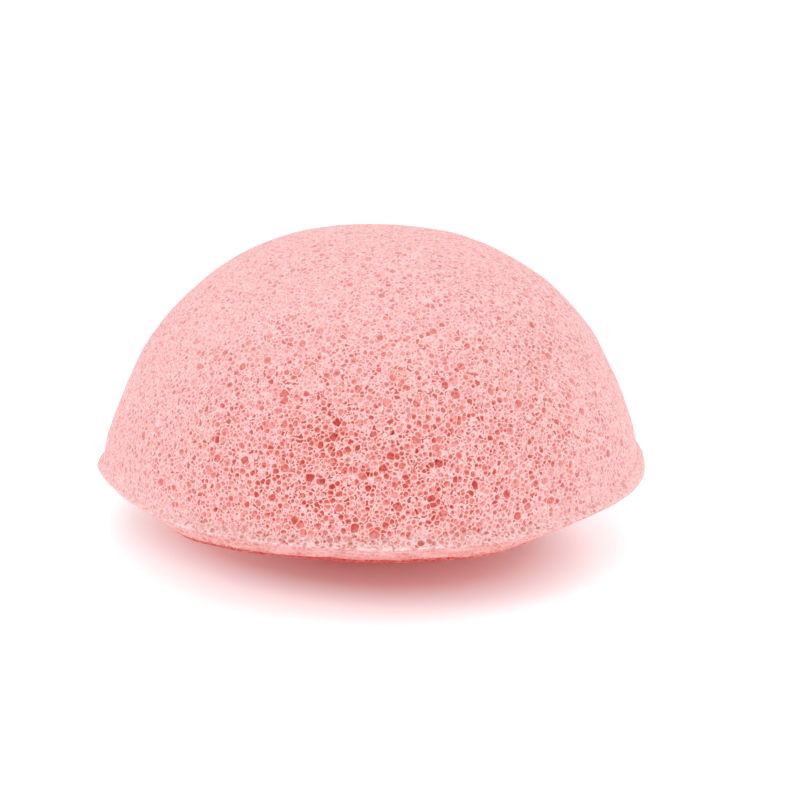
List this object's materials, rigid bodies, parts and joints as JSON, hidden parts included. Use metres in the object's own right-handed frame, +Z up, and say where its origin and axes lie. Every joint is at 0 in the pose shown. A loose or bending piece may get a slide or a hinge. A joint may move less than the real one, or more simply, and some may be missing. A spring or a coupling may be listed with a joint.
{
  "type": "konjac sponge",
  "caption": "Half-ball moulded plant-fibre foam sponge for washing the face: open-celled dome, rounded dense lip and crowned smooth-skinned underside.",
  "frame": {"origin": "middle of the flat on the crowned underside, where the sponge rests", "axes": "+Z up through the top of the dome, which is the axis it is round about; +X and +Y lie in the surface it rests on"},
  "size_m": [0.074, 0.074, 0.042],
  "materials": {
    "open_foam": "matte moist open-celled foam, pale pink walls over deeper pink pores",
    "lip_foam": "matte dense foam with few pores, the palest pink of the sponge",
    "skin_foam": "matte smooth cast foam skin with small scattered pores"
  },
  "bodies": {
    "root": {"foam_body": "open_foam", "rim_lip": "lip_foam", "base_skin": "skin_foam"}
  },
  "joints": []
}
